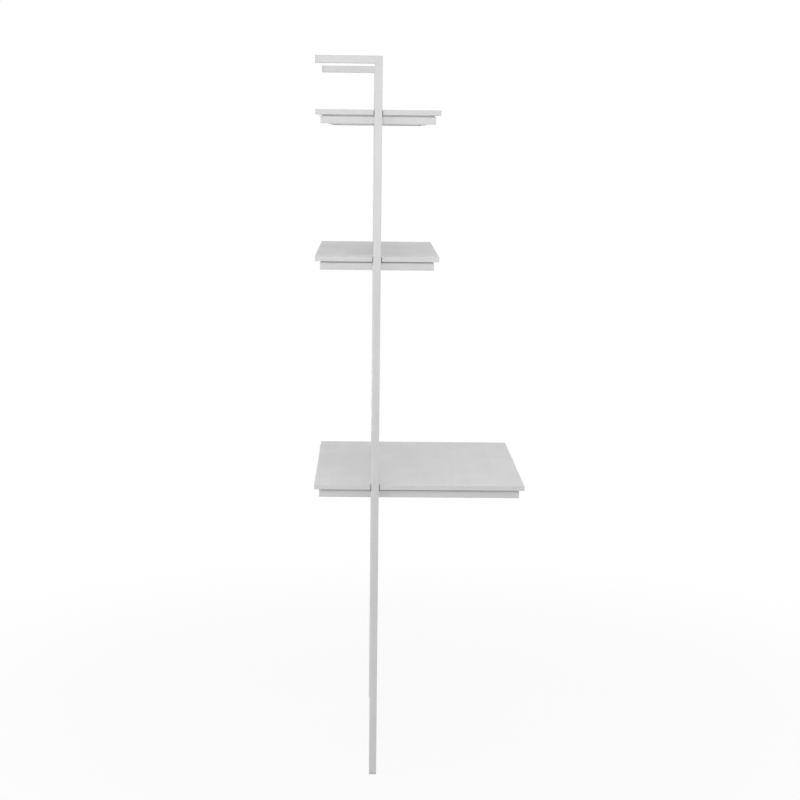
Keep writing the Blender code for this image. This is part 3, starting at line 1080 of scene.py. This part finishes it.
class WALLDESK_OT_studio(bpy.types.Operator):
    """Sets a pale floor, soft light all around and the camera"""

    bl_idname = "wall_desk.studio"
    bl_label = "Studio"

    def execute(self, context):
        studio = context.scene.wall_desk_studio
        self.floor(studio)
        self.world(context.scene, studio)
        for name, lamp in LAMPS.items():
            self.lamp(name, power=getattr(studio, f"{name}_power"), **lamp)
        self.camera(context.scene, studio)
        context.scene.view_settings.view_transform = "Standard"
        return {"FINISHED"}

    def floor(self, studio):
        """A wide pale floor that keeps the shadow near the desk and turns white away from it."""
        deselect()
        bpy.ops.mesh.primitive_circle_add(vertices=FLOOR_SIDES, radius=FLOOR_RADIUS, fill_type="NGON")
        ground = settle("floor")
        material = bpy.data.materials.new("pale_floor")
        material.use_nodes = True
        tree = material.node_tree
        shader = tree.nodes["Principled BSDF"]
        shader.inputs["Base Color"].default_value = (*studio.floor, 1)
        shader.inputs["Roughness"].default_value = FLOOR_ROUGHNESS
        shader.inputs["Specular IOR Level"].default_value = FLOOR_SPECULAR
        place = tree.nodes.new("ShaderNodeTexCoord").outputs["Object"]
        far = tree.nodes.new("ShaderNodeVectorMath")
        far.operation = "LENGTH"
        tree.links.new(place, far.inputs[0])
        share = mapped(tree, far.outputs["Value"], WHITE_NEAR, WHITE_AWAY, NEAR, AWAY, "SMOOTHSTEP")
        seen = tree.nodes.new("ShaderNodeMath")
        seen.operation = "MULTIPLY"
        tree.links.new(seen_directly(tree), seen.inputs[0])
        tree.links.new(share, seen.inputs[1])
        white = tree.nodes.new("ShaderNodeEmission")
        mix = tree.nodes.new("ShaderNodeMixShader")
        tree.links.new(seen.outputs["Value"], mix.inputs["Fac"])
        tree.links.new(shader.outputs["BSDF"], mix.inputs[1])
        tree.links.new(white.outputs["Emission"], mix.inputs[2])
        tree.links.new(mix.outputs["Shader"], tree.nodes["Material Output"].inputs["Surface"])
        ground.data.materials.append(material)
        ground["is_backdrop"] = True

    def world(self, scene, studio):
        """Even light from all around, white where it is seen."""
        world = bpy.data.worlds.new("studio")
        world.use_nodes = True
        tree = world.node_tree
        background = tree.nodes["Background"]
        background.inputs["Color"].default_value = (1, 1, 1, 1)
        tree.links.new(mapped(tree, seen_directly(tree), studio.ambient, 1.0), background.inputs["Strength"])
        scene.world = world

    def lamp(self, name, place, width, height, power):
        """A large soft lamp turned to the middle of the desk."""
        deselect()
        low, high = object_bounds()
        sight = (Vector(low) + Vector(high)) / 2 - Vector(place)
        turn = sight.to_track_quat("-Z", "Y").to_euler()
        bpy.ops.object.light_add(type="AREA", location=place, rotation=turn)
        lamp = bpy.context.object
        lamp.name = f"{name}_light"
        lamp.data.shape = "RECTANGLE"
        lamp.data.size = width
        lamp.data.size_y = height
        lamp.data.energy = power
        lamp.visible_camera = False

    def camera(self, scene, studio):
        """The camera at the desk's side, looking a little down."""
        level = math.cos(studio.camera_down)
        sight = Vector(
            (
                level * math.cos(studio.camera_aside),
                -level * math.sin(studio.camera_aside),
                -math.sin(studio.camera_down),
            )
        )
        turn = sight.to_track_quat("-Z", "Y") @ Quaternion(UP, studio.camera_roll)
        deselect()
        bpy.ops.object.camera_add(location=studio.camera_place, rotation=turn.to_euler())
        camera = bpy.context.object
        camera.name = "side_camera"
        camera.data.sensor_width = FRAME_WIDTH
        camera.data.lens = studio.camera_lens
        scene.camera = camera


PIECES = (
    WALLDESK_OT_posts,
    WALLDESK_OT_wall_arms,
    WALLDESK_OT_rails,
    WALLDESK_OT_boards,
    WALLDESK_OT_welds,
    WALLDESK_OT_foot_plugs,
    WALLDESK_OT_wall_brackets,
    WALLDESK_OT_strips,
    WALLDESK_OT_screws,
    WALLDESK_OT_studio,
)


class WALLDESK_PT_panel(bpy.types.Panel):
    """Lists the desk's pieces, sizes, finishes and studio"""

    bl_label = "White Wall Desk"
    bl_idname = "WALLDESK_PT_panel"
    bl_space_type = "VIEW_3D"
    bl_region_type = "UI"
    bl_category = "Wall Desk"

    def draw(self, context):
        for operator in PIECES:
            self.layout.operator(operator.bl_idname)
        for group in (
            context.scene.wall_desk_sizes,
            context.scene.wall_desk_finishes,
            context.scene.wall_desk_studio,
        ):
            box = self.layout.box()
            for name in group.bl_rna.properties.keys():
                if name not in ("rna_type", "name"):
                    box.prop(group, name)


GROUPS = {
    "wall_desk_sizes": WallDeskSizes,
    "wall_desk_finishes": WallDeskFinishes,
    "wall_desk_studio": WallDeskStudio,
}


def register():
    """Registers the desk's classes and its values on the scene."""
    for kind in (*GROUPS.values(), *PIECES, WALLDESK_PT_panel):
        bpy.utils.register_class(kind)
    for name, kind in GROUPS.items():
        setattr(bpy.types.Scene, name, PointerProperty(type=kind))


def unregister():
    """Removes the desk's values and classes."""
    for name in GROUPS:
        delattr(bpy.types.Scene, name)
    for kind in (WALLDESK_PT_panel, *reversed(PIECES), *reversed(GROUPS.values())):
        bpy.utils.unregister_class(kind)


def main():
    """Makes every piece and the studio."""
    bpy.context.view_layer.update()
    register()
    bpy.ops.wall_desk.posts()
    bpy.ops.wall_desk.wall_arms()
    bpy.ops.wall_desk.rails()
    bpy.ops.wall_desk.boards()
    bpy.ops.wall_desk.welds()
    bpy.ops.wall_desk.foot_plugs()
    bpy.ops.wall_desk.wall_brackets()
    bpy.ops.wall_desk.strips()
    bpy.ops.wall_desk.screws()
    bpy.ops.wall_desk.studio()


if __name__ == "__main__":
    main()
